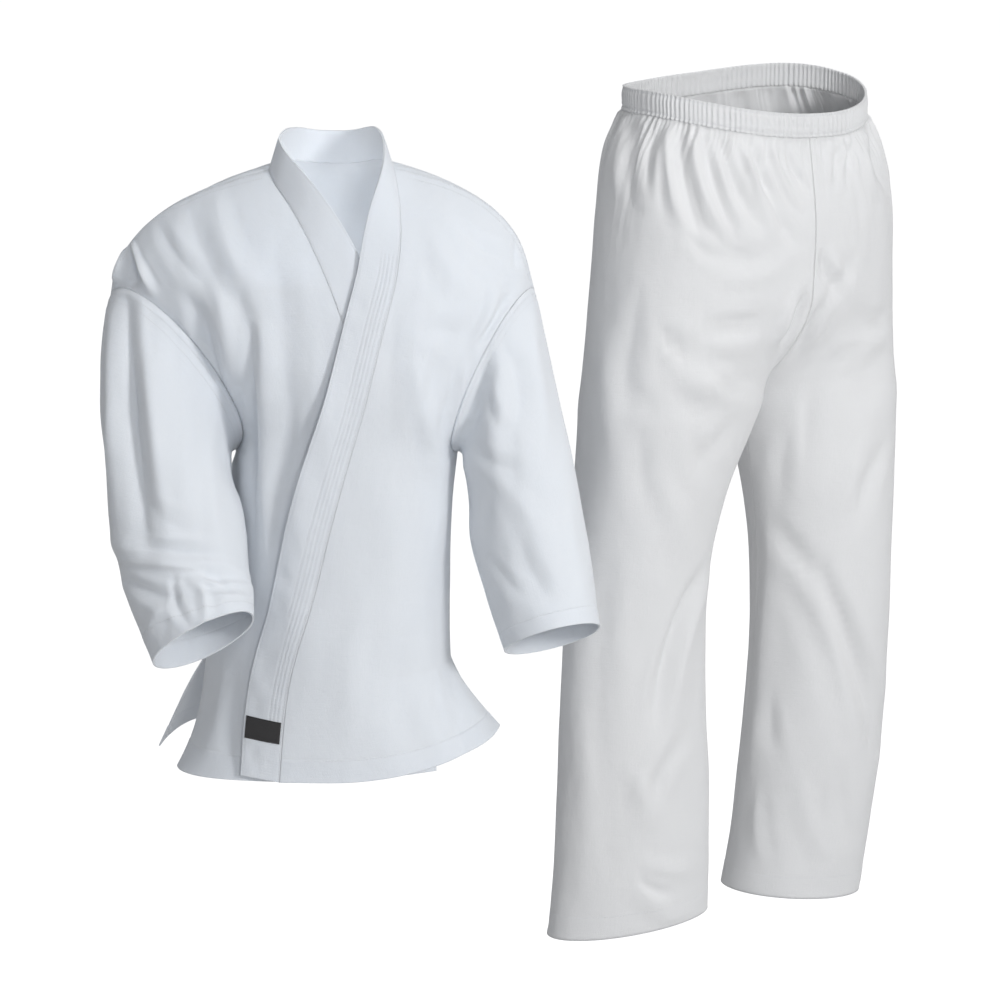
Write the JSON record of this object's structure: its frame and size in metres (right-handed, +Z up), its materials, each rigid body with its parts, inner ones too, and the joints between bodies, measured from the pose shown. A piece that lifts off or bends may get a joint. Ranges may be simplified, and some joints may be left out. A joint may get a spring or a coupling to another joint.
{
  "type": "karate uniform",
  "caption": "White karate uniform, hollow as worn: a wrap jacket with a lapel, elbow-length sleeves and side slits, beside straight trousers with a gathered waist.",
  "frame": {"origin": "the middle of the jacket's neck base, level with the shoulder seams' inner ends, where a wearer's shoulders carry it", "axes": "+Z up, -Y out of the jacket's front, +X towards the wearer's left"},
  "size_m": [0.9378, 0.5765, 1.0286],
  "materials": {
    "jacket_cloth": "matt woven cotton, cool white",
    "trouser_cloth": "matt woven cotton, neutral white",
    "label_cloth": "matt woven black"
  },
  "bodies": {
    "root": {"jacket_back": "jacket_cloth", "jacket_front_inner": "jacket_cloth", "jacket_front_outer": "jacket_cloth", "jacket_label": "label_cloth", "jacket_lapel": "jacket_cloth", "jacket_sleeve_left": "jacket_cloth", "jacket_sleeve_right": "jacket_cloth", "trousers_leg_left": "trouser_cloth", "trousers_leg_right": "trouser_cloth", "trousers_waistband": "trouser_cloth"}
  },
  "joints": []
}
